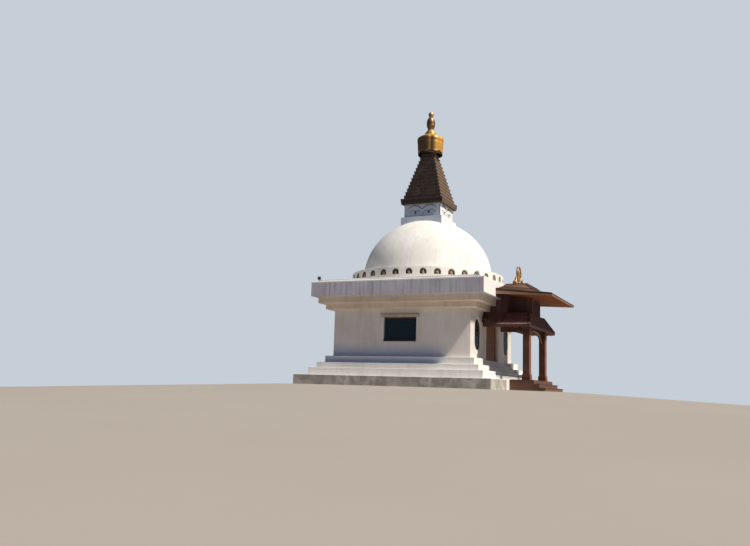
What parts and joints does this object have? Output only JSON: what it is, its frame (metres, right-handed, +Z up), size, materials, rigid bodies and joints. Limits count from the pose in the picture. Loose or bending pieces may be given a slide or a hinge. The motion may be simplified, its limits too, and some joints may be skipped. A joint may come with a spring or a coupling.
{
  "type": "stupa with timber entrance porch",
  "caption": "Square white stupa on a stepped base: walled room, cornice, drum with niches, dome, harmika, stepped spire with gilded finial, and a two-tier timber porch.",
  "frame": {"origin": "on the dome's axis at ground level", "axes": "+Z up, -Y out of the entrance side, +X to the right when facing the entrance"},
  "size_m": [11.18, 13.59, 16.76],
  "materials": {
    "stucco": "lime-washed stucco",
    "cement": "bare cement render, mottled",
    "timber": "dark red-brown stain",
    "shingle": "weathered shingle",
    "spire_timber": "dark brown, weathered",
    "glass": "dark tinted",
    "gold": "gilded, satin",
    "bronze": "weathered gilding",
    "iron": "dark powder coat"
  },
  "bodies": {
    "stupa": {"back_glass": "glass", "back_hood": "stucco", "back_wall": "stucco", "base_course": "cement", "cornice_low": "stucco", "cornice_mid": "stucco", "crown": "gold", "deer_left": "gold", "deer_right": "gold", "dome": "stucco", "door_frame": "timber", "drum": "stucco", "entry_steps": "stucco", "front_wall_head": "stucco", "front_wall_left": "stucco", "front_wall_right": "stucco", "harmika": "stucco", "harmika_plinth": "stucco", "jewel": "gold", "lamp_left_back": "iron", "lamp_left_front": "iron", "lamp_right_back": "iron", "lamp_right_front": "iron", "landing_steps": "timber", "left_glass": "glass", "left_hood": "stucco", "left_wall": "stucco", "lotus": "gold", "lower_roof": "shingle", "narrow_glass_left": "glass", "narrow_glass_right": "glass", "parapet_band": "stucco", "parapet_coping": "stucco", "porch_arch": "timber", "porch_beams": "timber", "porch_landing": "timber", "porch_post_left": "timber", "porch_post_right": "timber", "porch_upper_walls": "timber", "right_glass": "glass", "right_hood": "stucco", "right_wall": "stucco", "roof_terrace": "stucco", "spire": "spire_timber", "spire_slab": "spire_timber", "tier_four": "stucco", "tier_three": "stucco", "tier_two": "stucco", "upper_roof": "shingle", "vase": "bronze", "wheel": "gold"},
    "door_left": {"door_left": "timber"},
    "door_right": {"door_right": "timber"}
  },
  "joints": [
    {"name": "door_left_hinge", "type": "hinge", "parent": "stupa", "child": "door_left", "pos_m": [-1.077, -3.763, 2.675], "axis": [0, 0, 1], "range_deg": [0, 90]},
    {"name": "door_right_hinge", "type": "hinge", "parent": "stupa", "child": "door_right", "pos_m": [1.077, -3.763, 2.675], "axis": [0, 0, -1], "range_deg": [0, 90]}
  ]
}
